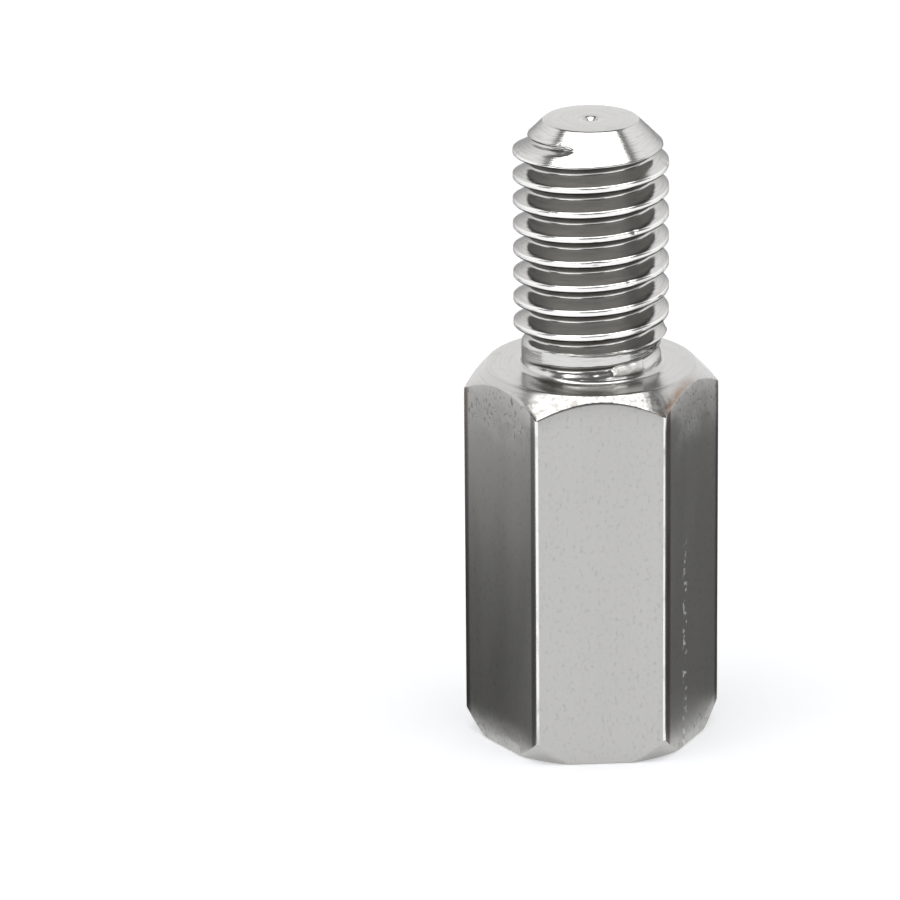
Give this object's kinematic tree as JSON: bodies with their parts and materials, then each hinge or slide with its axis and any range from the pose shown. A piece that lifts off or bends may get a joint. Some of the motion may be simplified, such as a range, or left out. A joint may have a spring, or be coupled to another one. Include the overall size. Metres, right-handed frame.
{
  "type": "male-female coupling nut",
  "caption": "Hexagon coupling nut with a tapped blind bore in its lower end and a threaded stud on its upper end.",
  "frame": {"origin": "centre of the lower face, the female end, which the nut stands on", "axes": "+Z along the thread axis from the female end to the stud's tip, +X towards a corner of the hexagon, a flat faces -Y"},
  "size_m": [0.008, 0.007, 0.0203],
  "materials": {
    "stainless_steel": "bright drawn flats and turned ends"
  },
  "bodies": {
    "root": {"coupling_nut": "stainless_steel"}
  },
  "joints": []
}
